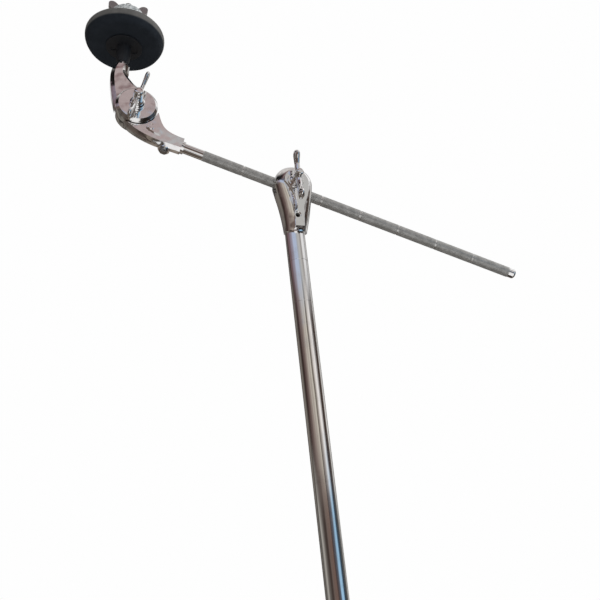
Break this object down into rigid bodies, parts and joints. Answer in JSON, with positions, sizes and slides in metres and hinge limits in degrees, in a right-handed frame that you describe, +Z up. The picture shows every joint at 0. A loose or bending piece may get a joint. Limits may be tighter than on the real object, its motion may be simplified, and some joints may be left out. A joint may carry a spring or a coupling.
{
  "type": "cymbal boom stand",
  "caption": "Chrome cymbal stand with a tripod base, telescoping tubes, a tilting and sliding boom arm and a ratchet tilter carrying a foam cymbal seat.",
  "frame": {"origin": "on the floor, under the axis of the stand's tubes", "axes": "+Z up along the tubes, the cymbal end of the boom towards -X, wing bolts of the boom head and tilter towards -Y"},
  "size_m": [0.5924, 0.5588, 1.6362],
  "materials": {
    "chrome": "polished",
    "satin_steel": "satin, finely knurled on the boom",
    "black_nylon": "matte",
    "black_foam": "closed-cell foam",
    "felt": "pressed wool felt",
    "rubber": "moulded",
    "badge": "satin"
  },
  "bodies": {
    "base": {"base_tube": "chrome", "base_plug": "black_nylon", "lower_bracket": "chrome", "brace_pins": "satin_steel", "base_clamp": "chrome", "base_bushing": "black_nylon", "base_clamp_nut": "satin_steel"},
    "tripod_collar": {"tripod_collar": "chrome", "leg_pins": "satin_steel"},
    "collar_bolt": {"collar_wing_bolt": "chrome"},
    "base_clamp_bolt": {"base_clamp_wing_bolt": "chrome"},
    "middle": {"middle_tube": "chrome", "middle_lock": "chrome", "middle_lock_bolt": "satin_steel", "upper_clamp": "chrome", "upper_bushing": "black_nylon", "upper_clamp_nut": "satin_steel"},
    "upper_clamp_bolt": {"upper_clamp_wing_bolt": "chrome"},
    "upper_lift": {"upper_lock": "chrome", "upper_lock_bolt": "satin_steel"},
    "upper": {"upper_tube": "chrome", "boom_casting": "chrome", "head_screw": "satin_steel"},
    "boom_bolt": {"boom_wing_bolt": "chrome", "boom_washer": "chrome"},
    "holder": {"rod_holder_front": "chrome", "rod_holder_rear": "chrome"},
    "boom": {"boom_rod": "satin_steel", "rod_end_cap": "chrome"},
    "tilter": {"lower_arm": "chrome", "rod_key_bolt": "satin_steel", "arm_badge": "badge", "lower_ratchet": "satin_steel", "tilter_nut": "satin_steel"},
    "tilter_bolt": {"tilter_wing_bolt": "chrome", "tilter_washer": "chrome"},
    "cymbal_arm": {"upper_arm": "chrome", "upper_ratchet": "satin_steel", "cymbal_post": "chrome", "cymbal_sleeve": "black_nylon", "seat_washer": "black_nylon", "foam_pad": "black_foam", "lower_felt": "felt", "upper_felt": "felt"},
    "cymbal_nut": {"wing_nut": "chrome"},
    "leg_1": {"leg_1": "chrome", "leg_rivet_1": "satin_steel", "foot_1": "rubber"},
    "brace_1": {"brace_1": "chrome"},
    "leg_2": {"leg_2": "chrome", "leg_rivet_2": "satin_steel", "foot_2": "rubber"},
    "brace_2": {"brace_2": "chrome"},
    "leg_3": {"leg_3": "chrome", "leg_rivet_3": "satin_steel", "foot_3": "rubber"},
    "brace_3": {"brace_3": "chrome"}
  },
  "joints": [
    {"name": "collar_slide", "type": "slide", "parent": "base", "child": "tripod_collar", "axis": [0, 0, 1], "range_m": [0, 0.14874]},
    {"name": "leg_1_hinge", "type": "hinge", "parent": "tripod_collar", "child": "leg_1", "pos_m": [-0.036, 0, 0.33], "axis": [0, -1, 0], "range_deg": [0, 34.34]},
    {"name": "brace_1_hinge", "type": "hinge", "parent": "base", "child": "brace_1", "pos_m": [-0.034, 0, 0.093], "axis": [0, 1, 0], "range_deg": [0, 57.72]},
    {"name": "leg_2_hinge", "type": "hinge", "parent": "tripod_collar", "child": "leg_2", "pos_m": [0.018, 0.03118, 0.33], "axis": [-0.866, 0.5, 0], "range_deg": [0, 34.34]},
    {"name": "brace_2_hinge", "type": "hinge", "parent": "base", "child": "brace_2", "pos_m": [0.017, 0.02944, 0.093], "axis": [0.866, -0.5, 0], "range_deg": [0, 57.72]},
    {"name": "leg_3_hinge", "type": "hinge", "parent": "tripod_collar", "child": "leg_3", "pos_m": [0.018, -0.03118, 0.33], "axis": [0.866, 0.5, 0], "range_deg": [0, 34.34]},
    {"name": "brace_3_hinge", "type": "hinge", "parent": "base", "child": "brace_3", "pos_m": [0.017, -0.02944, 0.093], "axis": [-0.866, -0.5, 0], "range_deg": [0, 57.72]},
    {"name": "middle_slide", "type": "slide", "parent": "base", "child": "middle", "axis": [0, 0, 1], "range_m": [-0.05, 0.1]},
    {"name": "upper_slide", "type": "slide", "parent": "middle", "child": "upper_lift", "axis": [0, 0, 1], "range_m": [-0.002, 0.14]},
    {"name": "upper_swivel", "type": "hinge", "parent": "upper_lift", "child": "upper", "pos_m": [0, 0, 0.904], "axis": [0, 0, 1], "continuous": true},
    {"name": "boom_tilt", "type": "hinge", "parent": "upper", "child": "holder", "pos_m": [0.002, 0, 1.385], "axis": [0, 1, 0], "range_deg": [-25.5, 30]},
    {"name": "boom_slide", "type": "slide", "parent": "holder", "child": "boom", "axis": [-0.9367, 0, 0.3502], "range_m": [-0.09, 0.23]},
    {"name": "tilter_roll", "type": "hinge", "parent": "boom", "child": "tilter", "pos_m": [-0.1385, 0, 1.43753], "axis": [-0.9367, 0, 0.3502], "continuous": true},
    {"name": "cymbal_tilt", "type": "hinge", "parent": "tilter", "child": "cymbal_arm", "pos_m": [-0.1725, 0, 1.47675], "axis": [0, 1, 0], "range_deg": [-45, 45]},
    {"name": "collar_bolt_turn", "type": "hinge", "parent": "tripod_collar", "child": "collar_bolt", "pos_m": [0.031, 0, 0.33], "axis": [1, 0, 0], "continuous": true},
    {"name": "base_clamp_bolt_turn", "type": "hinge", "parent": "base", "child": "base_clamp_bolt", "pos_m": [0.0298, 0, 0.583], "axis": [0, -1, 0], "continuous": true},
    {"name": "upper_clamp_bolt_turn", "type": "hinge", "parent": "middle", "child": "upper_clamp_bolt", "pos_m": [0.0282, 0, 0.867], "axis": [0, -1, 0], "continuous": true},
    {"name": "boom_bolt_turn", "type": "hinge", "parent": "upper", "child": "boom_bolt", "pos_m": [0.002, 0, 1.385], "axis": [0, -1, 0], "continuous": true},
    {"name": "tilter_bolt_turn", "type": "hinge", "parent": "tilter", "child": "tilter_bolt", "pos_m": [-0.1725, 0, 1.47675], "axis": [0, -1, 0], "continuous": true},
    {"name": "wing_nut_turn", "type": "hinge", "parent": "cymbal_arm", "child": "cymbal_nut", "pos_m": [-0.1874, 0, 1.53675], "axis": [0.0958, 0, 0.9954], "continuous": true}
  ],
  "couplings": [
    {"joint": "leg_1_hinge", "follows": "collar_slide", "rad_per_m": 4.0231},
    {"joint": "brace_1_hinge", "follows": "collar_slide", "rad_per_m": 6.767},
    {"joint": "leg_2_hinge", "follows": "collar_slide", "rad_per_m": 4.0231},
    {"joint": "brace_2_hinge", "follows": "collar_slide", "rad_per_m": 6.767},
    {"joint": "leg_3_hinge", "follows": "collar_slide", "rad_per_m": 4.0231},
    {"joint": "brace_3_hinge", "follows": "collar_slide", "rad_per_m": 6.767}
  ]
}
